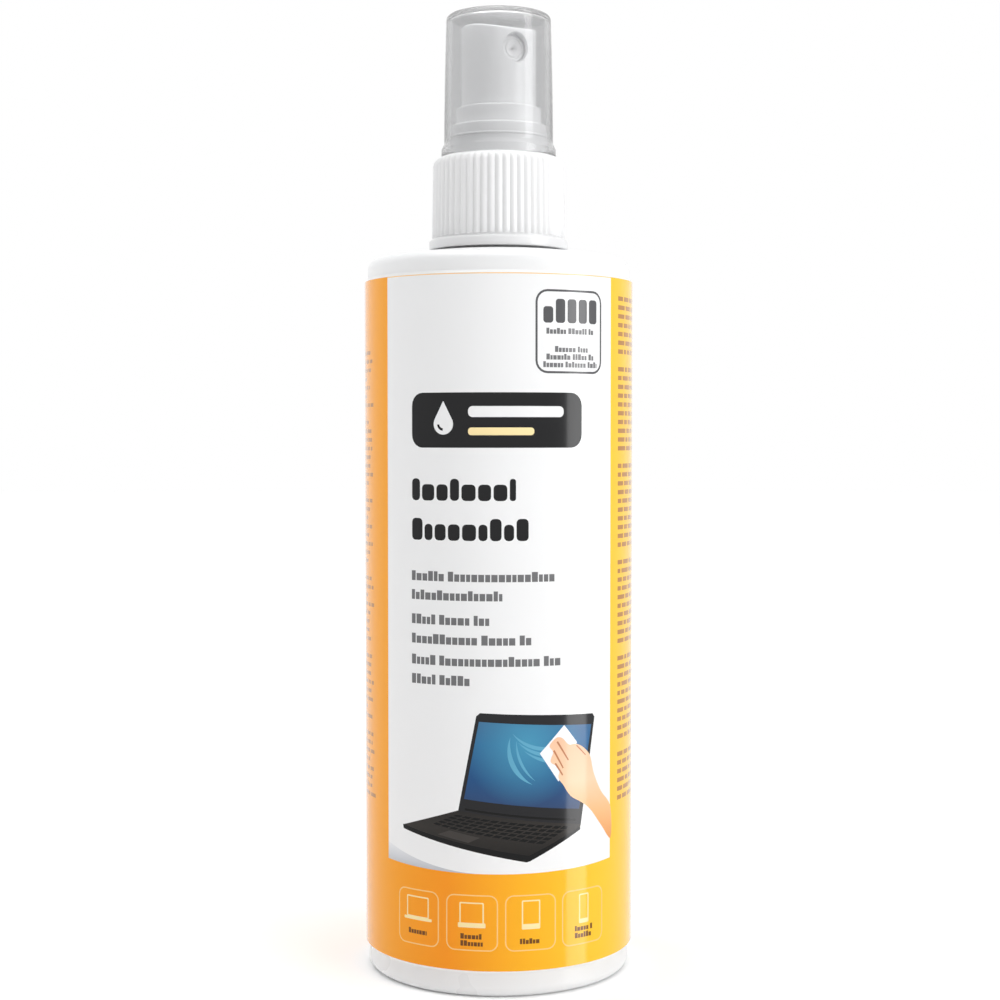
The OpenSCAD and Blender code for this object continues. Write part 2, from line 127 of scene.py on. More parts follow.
def lathe_mesh(name, outline, segments=160, radius=None, closed=False):
    """A turned solid: outline is (r, z) from axis to axis, or a closed ring of points.

    radius(r, z, angle) may change the radius round the turn.
    """
    on_axis = 1e-4
    points, rings = [], []
    for r, z in outline:
        if r < on_axis:
            rings.append([len(points)] * segments)
            points.append((0, 0, z * MM))
            continue
        rings.append(list(range(len(points), len(points) + segments)))
        for i in range(segments):
            angle = TAU * i / segments
            rr = radius(r, z, angle) if radius else r
            points.append((rr * math.cos(angle) * MM, rr * math.sin(angle) * MM, z * MM))
    faces = []
    pairs = list(zip(rings, rings[1:]))
    if closed:
        pairs.append((rings[-1], rings[0]))
    for lower, upper in pairs:
        for i in range(segments):
            j = (i + 1) % segments
            corners = [lower[i], lower[j], upper[j], upper[i]]
            face = list(dict.fromkeys(corners))
            if len(face) > 2:
                faces.append(face)
    mesh = bpy.data.meshes.new(name)
    mesh.from_pydata(points, [], faces)
    mesh.validate()
    return mesh


def add_piece(piece, body, node):
    """A visual piece rides on a body and stands for a CAD node, which it hides."""
    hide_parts(node)
    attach(piece, body)
    return piece


# ---------------------------------------------------------------- materials

def new_material(name):
    material = bpy.data.materials.new(name)
    material.use_nodes = True
    nodes = material.node_tree.nodes
    return material, nodes, material.node_tree.links, nodes["Principled BSDF"]


def object_coords(nodes, links):
    return nodes.new("ShaderNodeTexCoord").outputs["Object"]


def noise(nodes, links, scale, detail=3.0):
    texture = nodes.new("ShaderNodeTexNoise")
    texture.inputs["Scale"].default_value = scale
    texture.inputs["Detail"].default_value = detail
    texture.inputs["Roughness"].default_value = 0.5
    links.new(object_coords(nodes, links), texture.inputs["Vector"])
    return texture.outputs["Fac"]


def spread(nodes, links, value, low, high):
    """A noise value, which stays mostly between 0.3 and 0.7, brought to the range low to high."""
    node = nodes.new("ShaderNodeMapRange")
    node.inputs["From Min"].default_value = 0.3
    node.inputs["From Max"].default_value = 0.7
    node.inputs["To Min"].default_value = low
    node.inputs["To Max"].default_value = high
    links.new(value, node.inputs["Value"])
    return node.outputs["Result"]


def bump(nodes, links, shader, value, strength, distance_mm):
    node = nodes.new("ShaderNodeBump")
    node.inputs["Strength"].default_value = strength
    node.inputs["Distance"].default_value = distance_mm * MM
    links.new(value, node.inputs["Height"])
    links.new(node.outputs["Normal"], shader.inputs["Normal"])


def plastic(name, color, rough=(0.3, 0.38), grain=900.0, grain_mm=0.01, haze=0.0,
            transmission=0.0):
    """Moulded plastic: faint orange-peel, roughness that wanders a little, optional haze."""
    material, nodes, links, shader = new_material(name)
    shader.inputs["Base Color"].default_value = (*color, 1)
    shader.inputs["IOR"].default_value = 1.5
    links.new(spread(nodes, links, noise(nodes, links, 60.0), *rough),
              shader.inputs["Roughness"])
    bump(nodes, links, shader, noise(nodes, links, grain), 0.35, grain_mm)
    if haze:
        shader.inputs["Subsurface Weight"].default_value = haze
        shader.inputs["Subsurface Radius"].default_value = (1.0, 1.0, 1.0)
        shader.inputs["Subsurface Scale"].default_value = 1.2 * MM
    shader.inputs["Transmission Weight"].default_value = transmission
    return material


def ink(name, color):
    """Flat print under the label's gloss varnish."""
    material, nodes, links, shader = new_material(name)
    shader.inputs["Base Color"].default_value = (*color, 1)
    varnish(nodes, links, shader)
    return material


def varnish(nodes, links, shader):
    """The label's gloss coat, with the film's faint ripple."""
    shader.inputs["Coat Weight"].default_value = 1.0
    shader.inputs["Coat IOR"].default_value = 1.27
    shader.inputs["Coat Roughness"].default_value = 0.12
    shader.inputs["IOR"].default_value = 1.5
    shader.inputs["Specular IOR Level"].default_value = 0.05
    links.new(spread(nodes, links, noise(nodes, links, 45.0), 0.22, 0.27),
              shader.inputs["Roughness"])
    bump(nodes, links, shader, noise(nodes, links, 180.0, detail=1.0), 0.05, 0.008)


def ramp_color(nodes, links, value, stops):
    """A colour that runs through stops, a list of (place, (r, g, b))."""
    ramp = nodes.new("ShaderNodeValToRGB")
    elements = ramp.color_ramp.elements
    while len(elements) < len(stops):
        elements.new(0.5)
    for element, (place, color) in zip(elements, stops):
        element.position = place
        element.color = (*color, 1)
    links.new(value, ramp.inputs["Fac"])
    return ramp.outputs["Color"]


def turn_fraction(nodes, links):
    """0 to 1 round the bottle: 0.5 faces -Y, and it grows towards +X."""
    mapping = nodes.new("ShaderNodeMapping")
    mapping.inputs["Rotation"].default_value = (0, 0, math.radians(90))
    links.new(object_coords(nodes, links), mapping.inputs["Vector"])
    gradient = nodes.new("ShaderNodeTexGradient")
    gradient.gradient_type = "RADIAL"
    links.new(mapping.outputs["Vector"], gradient.inputs["Vector"])
    return gradient.outputs["Fac"]


def height_fraction(nodes, links, low, high):
    """0 to 1 between two heights in millimetres."""
    split = nodes.new("ShaderNodeSeparateXYZ")
    links.new(object_coords(nodes, links), split.inputs["Vector"])
    node = nodes.new("ShaderNodeMapRange")
    node.inputs["From Min"].default_value = low * MM
    node.inputs["From Max"].default_value = high * MM
    links.new(split.outputs["Z"], node.inputs["Value"])
    return node.outputs["Result"]


def graded_ink(name, stops, value_of):
    """Print whose colour follows stops along value_of(nodes, links)."""
    material, nodes, links, shader = new_material(name)
    links.new(ramp_color(nodes, links, value_of(nodes, links), stops),
              shader.inputs["Base Color"])
    varnish(nodes, links, shader)
    return material


# ink colours, linear; the gold and the yellow are painted light, the key lamp's glare on the orange
ORANGE = (0.92, 0.300, 0.008)
AMBER = (0.90, 0.360, 0.015)
PAINTED_LIGHT_GOLD = (0.91, 0.430, 0.012)
PAINTED_LIGHT_YELLOW = (0.89, 0.530, 0.025)
WHITE_PRINT = (0.84, 0.843, 0.848)
CHARCOAL = (0.011, 0.011, 0.012)


def screen_ink():
    """The picture's blue screen: darker at its foot, with a soft teal glow."""
    material, nodes, links, shader = new_material("print_screen")
    sky = ramp_color(nodes, links, height_fraction(nodes, links, 33.5, 51.5),
                     [(0.0, (0.030, 0.055, 0.130)), (0.4, (0.014, 0.075, 0.210)),
                      (0.75, (0.022, 0.120, 0.280)), (1.0, (0.050, 0.130, 0.260))])
    radius, u, v = 11.5, 5.0, 47.0      # the glow's size and its middle on the label
    centre = (LABEL_R * math.sin(u / LABEL_R), -LABEL_R * math.cos(u / LABEL_R), v)
    mapping = nodes.new("ShaderNodeMapping")
    mapping.inputs["Scale"].default_value = [1 / (radius * MM)] * 3
    mapping.inputs["Location"].default_value = [-c / radius for c in centre]
    links.new(object_coords(nodes, links), mapping.inputs["Vector"])
    glow = nodes.new("ShaderNodeTexGradient")
    glow.gradient_type = "SPHERICAL"
    links.new(mapping.outputs["Vector"], glow.inputs["Vector"])
    mix = nodes.new("ShaderNodeMix")
    mix.data_type = "RGBA"
    mix.inputs["B"].default_value = (0.06, 0.28, 0.44, 1)
    links.new(glow.outputs["Fac"], mix.inputs["Factor"])
    links.new(sky, mix.inputs["A"])
    links.new(mix.outputs["Result"], shader.inputs["Base Color"])
    varnish(nodes, links, shader)
    return material


def label_inks():
    """The label's printed colours, by name; the orange wrap's turn to yellow round the +X side is
    painted light.
    """
    # painted light: round the +X side, where the key lamp falls, the orange print runs to gold and
    # yellow as a painted glare of that lamp
    wrap = graded_ink("print_orange_painted_light",
                      [(0.0, AMBER), (0.34, AMBER), (0.44, ORANGE), (0.53, PAINTED_LIGHT_GOLD),
                       (0.62, PAINTED_LIGHT_YELLOW), (0.80, PAINTED_LIGHT_YELLOW), (1.0, AMBER)], turn_fraction)
    screen = screen_ink()
    deck = graded_ink("print_deck",
                      [(0.0, (0.008, 0.007, 0.0065)), (0.6, (0.030, 0.026, 0.023)),
                       (1.0, (0.018, 0.016, 0.015))],
                      lambda nodes, links: height_fraction(nodes, links, 25.5, 35))
    skin = graded_ink("print_skin",
                      [(0.0, (0.74, 0.29, 0.080)), (0.3, (0.84, 0.47, 0.22)),
                       (0.6, (0.86, 0.60, 0.40)), (1.0, (0.84, 0.52, 0.34))],
                      lambda nodes, links: height_fraction(nodes, links, 27, 48))
    swoosh = graded_ink("print_swoosh",
                        [(0.0, (0.50, 0.52, 0.56)), (1.0, (0.80, 0.81, 0.83))],
                        lambda nodes, links: height_fraction(nodes, links, 23.3, 27.2))
    return {
        "wrap": wrap,
        "white": ink("print_white", WHITE_PRINT),
        "dark": ink("print_charcoal", CHARCOAL),
        "grey": ink("print_grey", (0.09, 0.09, 0.095)),
        "mid": ink("print_mid_grey", (0.16, 0.16, 0.165)),
        "brown": ink("print_brown", (0.16, 0.06, 0.010)),
        "tan": ink("print_tan", (0.42, 0.19, 0.035)),
        "seam": ink("print_seam", (0.62, 0.22, 0.010)),
        "line": ink("print_line", (0.92, 0.58, 0.22)),
        "pale": ink("print_pale", (0.93, 0.76, 0.40)),
        "bezel": ink("print_bezel", (0.016, 0.016, 0.018)),
        "screen": screen,
        "glow": ink("print_glow", (0.11, 0.36, 0.52)),
        "deck": deck,
        "key": ink("print_key", (0.003, 0.003, 0.003)),
        "edge": ink("print_edge", (0.004, 0.004, 0.004)),
        "pad": ink("print_pad", (0.050, 0.044, 0.040)),
        "cloth": ink("print_cloth", (0.84, 0.86, 0.90)),
        "skin": skin,
        "shade": ink("print_shade", (0.50, 0.20, 0.10)),
        "swoosh": swoosh,
    }


# ---------------------------------------------------------------- label artwork, in mm on the flat
#
# u runs round the bottle from the middle of the front, towards +X, and v is the height above
# the table. The numbers in these functions are places on that flat sheet.

FRONT_LEFT, FRONT_RIGHT = -24.0, 24.4
SEAM_LEFT, SEAM_RIGHT = 80.6, 80.75
LABEL_COLUMNS = 120         # upright edges that make the flat sheet bend smoothly


def rect(u1, v1, u2, v2):
    return [(u1, v1), (u2, v1), (u2, v2), (u1, v2)]


def round_rect(u1, v1, u2, v2, radius, steps=5):
    most = 0.42                         # of a side, so that the corners never meet
    radius = min(radius, most * (u2 - u1), most * (v2 - v1))
    corners = [(u2 - radius, v1 + radius, -90), (u2 - radius, v2 - radius, 0),
               (u1 + radius, v2 - radius, 90), (u1 + radius, v1 + radius, 180)]
    return [p for cu, cv, a in corners for p in arc(cu, cv, radius, a, a + 90, steps)]


def smooth_loop(points, steps=4):
    """A closed Catmull-Rom curve through points."""
    n = len(points)
    curve = []
    for i in range(n):
        p0, p1, p2, p3 = (Vector(points[(i + k) % n]) for k in (-1, 0, 1, 2))
        for s in range(steps):
            t = s / steps
            curve.append(tuple(0.5 * (2 * p1 + (p2 - p0) * t
                                      + (2 * p0 - 5 * p1 + 4 * p2 - p3) * t * t
                                      + (3 * p1 - p0 - 3 * p2 + p3) * t ** 3)))
    return curve


def counter_clockwise(outline):
    ahead = outline[1:] + outline[:1]
    area = sum(a[0] * b[1] - b[0] * a[1] for a, b in zip(outline, ahead))
    return outline if area > 0 else outline[::-1]


def in_quad(quad, s, t):
    """The point at fractions s along and t across a four-cornered patch."""
    a, b, c, d = (Vector(p) for p in quad)
    return tuple((a * (1 - s) + b * s) * (1 - t) + (d * (1 - s) + c * s) * t)


def patch(quad, s1, t1, s2, t2):
    return [in_quad(quad, s, t) for s, t in ((s1, t1), (s2, t1), (s2, t2), (s1, t2))]


def text_blocks(rng, u, v, width, height, heading=False):
    """A line of plain letter-sized blocks that stands in for a line of print."""
    tall, letter_gap, word_gap = 1.35, 0.15, 0.6        # in letter heights
    shapes, end, run = [], u + width, 0
    while u < end - 0.3 * height:
        w = min(height * rng.uniform(0.55, 0.9), end - u)
        rise = height * (tall if run == 0 or rng.random() < 0.2 else 1.0)
        shapes.append(round_rect(u, v, u + w, v + rise, 0.25 * height, 3) if heading
                      else rect(u, v, u + w, v + rise))
        run += 1
        gap = letter_gap
        if not heading and run > 4 and rng.random() < 0.3:
            gap, run = word_gap, 0
        u += w + gap * height
    return shapes


def small_print(rng, u1, u2, v, height):
    """A line of dashes, one to a word, that stands in for small print."""
    shortest, word_gap = 0.6, 0.5
    shapes = []
    while u1 < u2 - shortest:
        w = min(rng.uniform(1.2, 3.8), u2 - u1)
        shapes.append(rect(u1, v, u1 + w, v + height))
        u1 += w + word_gap
    return shapes


def front_panel():
    """The white front with its curved foot and the grey sweep beside it."""
    left, right, foot, top = FRONT_LEFT, FRONT_RIGHT, 23.2, LABEL_TOP
    sag, sweep, sweep_rise, lap = 0.75, 20.0, 3.2, 0.02
    n, m = 16, 10
    arch = [(left + (right - left) * i / n, foot + sag * (2 * i / n - 1) ** 2)
            for i in range(n + 1)]
    white = arch + [(right, top), (left, top)]
    sweep_foot = [(left + sweep * i / m,
                   foot + sag * (2 * sweep * i / m / (right - left) - 1) ** 2 - lap)
                  for i in range(m + 1)]
    sweep_top = [(u, v + sweep_rise * (1 - i / m) ** 1.6 + lap)
                 for i, (u, v) in enumerate(sweep_foot)]
    return [(white, "white"), (sweep_foot + sweep_top[::-1], "swoosh"),
            (rect(left, top - 0.16, right, top), "line")]


def badge_art():
    """A plain dark badge with a droplet and two plain bars."""
    cu, cv = -10.4, 106.45
    drop = [(cu, cv + 3.5)] + arc(cu, cv - 0.7, 1.95, 28, -208, 20)
    shapes = [(round_rect(-17.2, 101.4, 16.4, 111.5, 2.4), "dark"), (drop, "white")]
    shine = arc(cu, cv - 0.7, 1.25, -175, -95, 6) + arc(cu, cv - 0.7, 0.8, -95, -175, 6)
    shapes.append((shine, "dark"))
    shapes.append((round_rect(-5.6, 107.0, 12.4, 109.0, 0.9), "white"))
    shapes.append((round_rect(-5.6, 103.7, 6.6, 105.1, 0.6), "pale"))
    return shapes


def corner_seal_art(rng):
    """The outlined seal at the upper right, with rows of blocks."""
    shapes = [(round_rect(6.8, 115.0, 21.4, 130.3, 2.3), "grey"),
              (round_rect(7.2, 115.4, 21.0, 129.9, 1.9), "white")]
    for i in range(5):
        u = 8.3 + 2.45 * i
        shapes.append((round_rect(u, 124.2, u + 1.95, 128.6 if i else 127.2, 0.6), "grey"))
    for v, u, w in ((122.2, 8.9, 10.6), (118.9, 10.6, 7.2), (117.5, 8.9, 10.6), (116.1, 8.3, 11.8)):
        shapes += [(s, "mid") for s in text_blocks(rng, u, v, w, 0.8)]
    return shapes


def heading_art(rng):
    """Two heading lines and six lines of smaller print."""
    shapes = [(s, "dark") for s in text_blocks(rng, -17.2, 91.7, 20.4, 3.0, True)]
    shapes += [(s, "dark") for s in text_blocks(rng, -17.2, 84.4, 23.2, 3.0, True)]
    lines = ((76.9, 29.0), (73.4, 18.0), (68.9, 15.6), (65.3, 23.7), (61.4, 29.4), (57.8, 12.3))
    for v, width in lines:
        shapes += [(s, "mid") for s in text_blocks(rng, -17.3, v, width, 1.35)]
    return shapes


def crescent(u, v, radius, start, end, thickness):
    """A thin curved streak that tapers to both ends."""
    n = 12
    spine = arc(u, v, radius, start, end, n)
    half = [thickness * math.sin(math.pi * i / n) for i in range(n + 1)]
    out = [((p[0] - u) / radius, (p[1] - v) / radius) for p in spine]
    outer = [(p[0] + d[0] * h, p[1] + d[1] * h) for p, d, h in zip(spine, out, half)]
    inner = [(p[0] - d[0] * h, p[1] - d[1] * h) for p, d, h in zip(spine, out, half)]
    return outer + inner[-2:0:-1]       # the two tips are shared


def laptop_art():
    """A laptop seen from its front left corner, as flat print."""
    lid = [(-7.6, 34.4), (16.3, 31.3), (19.7, 51.2), (19.2, 51.9), (-3.4, 52.9), (-4.1, 52.3)]
    glass = [(-6.4, 37.0), (15.9, 34.4), (18.9, 49.9), (-3.6, 51.3)]
    deck = [(-19.6, 31.0), (5.6, 26.3), (16.2, 30.9), (16.3, 31.5), (-7.6, 34.8)]
    rim = [(-19.7, 31.1), (-19.5, 30.3), (5.2, 25.3), (5.9, 25.5), (16.2, 30.5), (16.2, 31.1),
           (5.6, 26.5)]
    keys = [(-12.9, 31.9), (8.2, 28.4), (14.2, 31.4), (-7.9, 34.1)]
    pad = [(-11.6, 30.1), (-5.6, 28.9), (-3.4, 29.9), (-9.2, 31.0)]
    shapes = [(lid, "bezel"), (glass, "screen")]
    for k in range(3):
        shapes.append((crescent(9.0 + k, 54.5 - 0.3 * k, 8.4 + 0.9 * k, -140 + 6 * k, -62, 0.35),
                       "glow"))
    shapes.append((crescent(9.5, 46.5, 7.6, 165, 245, 0.45), "glow"))
    shapes.append((crescent(12.5, 47.5, 9.2, 178, 232, 0.25), "glow"))
    shapes += [(deck, "deck"), (rim, "edge"), (pad, "pad")]
    rows, columns = 5, 13
    for i in range(rows):
        for j in range(columns):
            shapes.append((patch(keys, (j + 0.1) / columns, (i + 0.14) / rows,
                                 (j + 0.88) / columns, (i + 0.84) / rows), "key"))
    hinge = [(-6.3, 34.9), (15.0, 32.2), (15.1, 32.6), (-6.2, 35.3)]
    shapes.append((hinge, "edge"))
    return shapes


def hand_art():
    """A plain hand that wipes the screen with a folded cloth."""
    cloth = [(12.6, 50.3), (15.4, 46.9), (13.6, 42.4), (11.4, 39.9), (7.7, 45.3)]
    hand = [(10.9, 48.0), (12.2, 47.9), (13.6, 46.6), (15.2, 46.6), (17.0, 45.7), (18.6, 44.0),
            (19.6, 40.6), (21.6, 37.0), (24.6, 33.6), (24.7, 27.6), (21.6, 30.6), (18.6, 34.0),
            (16.4, 35.6), (14.0, 37.0), (12.4, 39.2), (11.4, 40.6), (11.6, 42.4), (9.8, 43.6),
            (10.3, 45.4), (9.6, 46.6)]
    fingers = [[(11.0, 47.2), (13.4, 43.6), (13.6, 43.8), (11.3, 47.4)],
               [(10.3, 45.6), (12.3, 42.2), (12.5, 42.4), (10.6, 45.8)],
               [(10.6, 43.2), (12.2, 40.9), (12.4, 41.1), (10.9, 43.4)],
               [(15.2, 46.2), (17.4, 44.2), (17.5, 44.4), (15.4, 46.4)]]
    shapes = [(cloth, "cloth"), (smooth_loop(hand), "skin")]
    shapes += [(f, "shade") for f in fingers]
    return shapes


def outline_shape(u1, v1, u2, v2, radius, line, colour="line"):
    """A rounded frame on the orange wrap."""
    return [(round_rect(u1, v1, u2, v2, radius), colour),
            (round_rect(u1 + line, v1 + line, u2 - line, v2 - line, max(radius - line, 0.1)),
             "wrap")]


def icon_art(rng):
    """Four device icons in rounded frames along the label's foot."""
    shapes = []
    frames = ((-20.8, -11.4), (-9.9, -0.1), (1.2, 10.9), (12.2, 22.0))
    screens = ((2.55, 14.0, 18.0), (2.3, 13.7, 17.9), (1.75, 13.4, 18.3), (1.15, 13.4, 18.4))
    feet = ((0.65, 0.55), (0.3, 0.9), (0.0, 1.0), (0.0, 0.8))
    captions = ((10.9,), (11.1, 9.8), (10.2,), (11.5, 10.2))
    for frame_u, (half, low, high), (wider, thick), rows in zip(frames, screens, feet, captions):
        u1, u2 = frame_u
        shapes += outline_shape(u1, 8.9, u2, 19.3, 1.6, 0.22)
        cu = (u1 + u2) / 2
        shapes += outline_shape(cu - half, low, cu + half, high, 0.25, 0.25, "pale")
        foot = round_rect(cu - half - wider, low - 0.5, cu + half + wider, low - 0.5 + thick, 0.2)
        shapes.append((foot, "pale"))
        for v in rows:
            shapes += [(s, "brown") for s in text_blocks(rng, cu - 2.1, v, 4.2, 0.75)]
    return shapes


def side_print(rng):
    """Small print down both sides and round the back, and a plain batch panel."""
    shapes = []
    for i in range(58):
        v = 129.0 - 1.66 * i
        if i % 11 != 7:
            line = small_print(rng, 27.2, 50.0 - rng.random() * 6, v, 0.85)
            shapes += [(s, "tan") for s in line]
        if i % 9 != 4 and i > 5:
            line = small_print(rng, -50.0, -29.0 - rng.random() * 5, v, 0.7)
            shapes += [(s, "tan") for s in line]
    shapes.append((round_rect(56.0, 60.0, 76.0, 128.0, 1.5), "white"))
    for i in range(34):
        if i % 9 != 8:
            shapes += [(s, "mid") for s in small_print(rng, 58.0, 74.0, 124.5 - 1.75 * i, 0.6)]
    shapes += outline_shape(-76.0, 96.0, -56.0, 128.0, 1.5, 0.25)
    shapes.append((round_rect(-76.0, 60.0, -56.0, 88.0, 1.5), "white"))
    for i in range(12):
        shapes += [(s, "brown") for s in small_print(rng, -74.0, -58.0, 124.0 - 2.2 * i, 0.8)]
    for v in (84.0, 81.8, 62.2):
        shapes += [(s, "mid") for s in small_print(rng, -74.0, -64.0, v, 0.8)]
    for i in range(3):
        u, v = -72.3 + 6.3 * i, 92.0
        shapes.append((arc(u, v, 2.2, 0, 345, 23), "pale"))
        shapes.append((arc(u, v, 1.95, 0, 345, 23), "wrap"))
        shapes.append(([(u, v + 1.5)] + arc(u, v - 0.25, 0.85, 28, -208, 12), "pale"))
    shapes.append((rect(SEAM_LEFT, LABEL_LOW, SEAM_RIGHT, LABEL_TOP), "seam"))
    return shapes


def label_art():
    """The whole label: shapes in painting order, each with the name of its ink."""
    rng = random.Random(11)
    half = math.pi * LABEL_R
    shapes = [(rect(-half, LABEL_LOW, half, LABEL_TOP), "wrap")]
    shapes += front_panel() + badge_art() + corner_seal_art(rng) + heading_art(rng)
    shapes += laptop_art() + hand_art() + icon_art(rng) + side_print(rng)
    return shapes


def label_mesh(shapes, inks):
    """The art as one thin closed sleeve: every shape is a region of the outer surface."""
    half = math.pi * LABEL_R
    points, edges, faces = [], [], []
    for outline, _ in shapes:
        faces.append(list(range(len(points), len(points) + len(outline))))
        points += counter_clockwise(outline)
    columns = [-half + 2 * half * i / LABEL_COLUMNS for i in range(1, LABEL_COLUMNS)]
    columns += [FRONT_LEFT, FRONT_RIGHT, SEAM_LEFT, SEAM_RIGHT]
    for u in columns:
        edges.append((len(points), len(points) + 1))
        points += [(u, LABEL_LOW), (u, LABEL_TOP)]
    inside_only, closest = 1, 1e-5
    found = delaunay_2d_cdt([Vector(p) for p in points], edges, faces, inside_only, closest)
    flat, tris, parents = found[0], found[2], found[5]
    bm = bmesh.new()
    verts = [bm.verts.new((LABEL_R * MM * math.sin(p.x / LABEL_R),
                           -LABEL_R * MM * math.cos(p.x / LABEL_R), p.y * MM)) for p in flat]
    names = list(inks)
    for tri, parent in zip(tris, parents):
        if parent:
            face = bm.faces.new([verts[i] for i in tri])
            face.material_index = names.index(shapes[max(parent)][1])
    bmesh.ops.remove_doubles(bm, verts=bm.verts, dist=1e-6)
    rim = [e for e in bm.edges if e.is_boundary]
    out = bmesh.ops.extrude_edge_only(bm, edges=rim)["geom"]
    inner = [v for v in out if isinstance(v, bmesh.types.BMVert)]
    for v in inner:
        v.co.xy *= PANEL_R / LABEL_R
    loops = [e for e in out if isinstance(e, bmesh.types.BMEdge) and e.is_boundary]
    bmesh.ops.bridge_loops(bm, edges=loops)
    bmesh.ops.recalc_face_normals(bm, faces=bm.faces)
    mesh = bpy.data.meshes.new("label_sleeve")
    bm.to_mesh(mesh)
    bm.free()
    for name in names:
        mesh.materials.append(inks[name])
    round_normals(mesh)
    return mesh


def round_normals(mesh):
    """Normals of a true cylinder on the sides, so that no edge of the print shows in the gloss."""
    for polygon in mesh.polygons:
        polygon.use_smooth = True
    normals = []
    for polygon in mesh.polygons:
        n = polygon.normal
        flat_face = abs(n.z) > 0.5
        for k in polygon.loop_indices:
            co = mesh.vertices[mesh.loops[k].vertex_index].co
            side = Vector((co.x, co.y, 0)).normalized()
            normals.append(n if flat_face else side if side.dot(n) > 0 else -side)
    mesh.normals_split_custom_set(normals)


def make_label():
    sleeve = link_object("label_sleeve", label_mesh(label_art(), label_inks()))
    add_piece(sleeve, "bottle", "label")


# ---------------------------------------------------------------- bottle

DOME_R, DOME_TOP = 140.0, 139.7
BASE_RING_R, PUSHUP = 20.0, 2.2
WALL = 1.0
NECK_R, NECK_BORE_R = 10.95, 9.8


def dome_z(r, inset=0.0):
    radius = DOME_R - inset
    return DOME_TOP - DOME_R + math.sqrt(radius * radius - r * r)


def pushup_z(r):
    radius = (BASE_RING_R ** 2 + PUSHUP ** 2) / (2 * PUSHUP)
    return PUSHUP - radius + math.sqrt(radius * radius - r * r)


def shoulder_edge(side_r, edge_r, inset, steps):
    """The rounded edge between the side and the domed shoulder."""
    centre_r = side_r - edge_r
    reach = DOME_R - inset - edge_r
    centre_z = DOME_TOP - DOME_R + math.sqrt(reach ** 2 - centre_r ** 2)
    lean = math.degrees(math.asin(centre_r / reach))
    return arc(centre_r, centre_z, edge_r, 0, 90 - lean, steps)


def bottle_outline():
    """From the middle of the base round the outside, over the rim and down the inside."""
    base = [(0, pushup_z(0))] + [(r, pushup_z(r)) for r in (4, 8, 12, 15, 17.5, 19)]
    foot = arc(BASE_RING_R + 0.6, 0.6, 0.6, -150, -90, 4)
    heel = arc(BAND_R - 2.0, 2.0, 2.0, -90, 0, 10)
    low_step = [(BAND_R, LABEL_LOW - 0.75), (BAND_R + 0.06, LABEL_LOW - 0.55),
                (PANEL_R - 0.1, LABEL_LOW - 0.18), (PANEL_R - 0.02, LABEL_LOW - 0.06),
                (PANEL_R, LABEL_LOW + 0.05)]
    top_step = [(r, LABEL_TOP + LABEL_LOW - z) for r, z in reversed(low_step)]
    edge = shoulder_edge(BAND_R, 2.2, 0, 10)
    shoulder = [(r, dome_z(r)) for r in (21.5, 19.5, 17.5, 15.5, 13.5, 12.2)]
    foot_z = dome_z(NECK_R + 0.8)
    neck = arc(NECK_R + 0.8, foot_z + 0.8, 0.8, -90, -180, 6)
    rim = arc(NECK_R - 0.4, RIM_Z - 0.4, 0.4, 0, 90, 5)
    rim += [(NECK_BORE_R + 0.15, RIM_Z), (NECK_BORE_R, RIM_Z - 0.15)]
    inside = [(r, dome_z(r, WALL)) for r in (NECK_BORE_R, 14, 18, 21)]
    inside += list(reversed(shoulder_edge(BAND_R - WALL, 1.7, WALL, 5)))
    inside += [(BAND_R - WALL, LABEL_TOP), (PANEL_R - WALL, LABEL_TOP - 0.5),
               (PANEL_R - WALL, LABEL_LOW + 0.5), (BAND_R - WALL, LABEL_LOW)]
    inside += [(BAND_R - WALL - 0.2, 2.0), (22.9, 1.1), (BASE_RING_R + 1, 1.0)]
    inside += [(r, pushup_z(r) + WALL) for r in (18, 14, 9, 4)] + [(0, pushup_z(0) + WALL)]
    return base + foot + heel + low_step + top_step + edge + shoulder + neck + rim + inside


def thread_mesh(name, middle_z, root=1.9, crest=0.8, embed=0.05):
    """The neck's thread: a rounded helical ridge that fades into the wall at both ends."""
    steps = int(THREAD_TURNS * 96)
    fade_steps = 8
    points, faces = [], []
    across = [(0.0, -0.5 * root), (0.55, -0.3 * root), (0.95, -0.42 * crest), (1.0, 0.0),
              (0.95, 0.42 * crest), (0.55, 0.3 * root), (0.0, 0.5 * root)]
    for i in range(steps + 1):
        angle = TAU * THREAD_TURNS * i / steps
        up = min(1.0, min(i, steps - i) / fade_steps)
        for rise, dz in across:
            r = NECK_R - embed + up * rise * (THREAD_R - NECK_R + embed)
            points.append((r * math.cos(angle) * MM, r * math.sin(angle) * MM,
                           (middle_z + THREAD_PITCH * angle / TAU + dz) * MM))
    n = len(across)
    for i in range(steps):
        for j in range(n):
            k = (j + 1) % n
            faces.append((i * n + j, i * n + k, (i + 1) * n + k, (i + 1) * n + j))
    faces += [tuple(range(n)), tuple(reversed(range(steps * n, steps * n + n)))]
    mesh = bpy.data.meshes.new(name)
    mesh.from_pydata(points, [], faces)
    mesh.validate()
    return mesh


def make_bottle():
    white = plastic("bottle_hdpe", (0.81, 0.815, 0.82), rough=(0.26, 0.34), grain=700.0,
                    grain_mm=0.012, haze=0.25)
    shell = finish_mesh("bottle_shell", lathe_mesh("bottle_shell", bottle_outline(), 200), white)
    add_piece(shell, "bottle", "bottle")
    ridge = thread_mesh("neck_thread", RIM_Z - 1.9 - THREAD_TURNS * THREAD_PITCH)
    ridge = finish_mesh("neck_thread", ridge, white, 50)
    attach(ridge, "bottle")


# ---------------------------------------------------------------- screw collar

RIB_COUNT = 56
RIB_FOOT_Z = COLLAR_Z + 2.35
COLLAR_EDGE = 1.8
COLLAR_RIB_R = 13.03
COLLAR_TAPER = 0.25
RIB_DEPTH = 0.3


def collar_side_r(z):
    """Radius over the ribs at a height."""
    return COLLAR_RIB_R - COLLAR_TAPER * (z - COLLAR_Z) / (COLLAR_TOP - COLLAR_EDGE - COLLAR_Z)


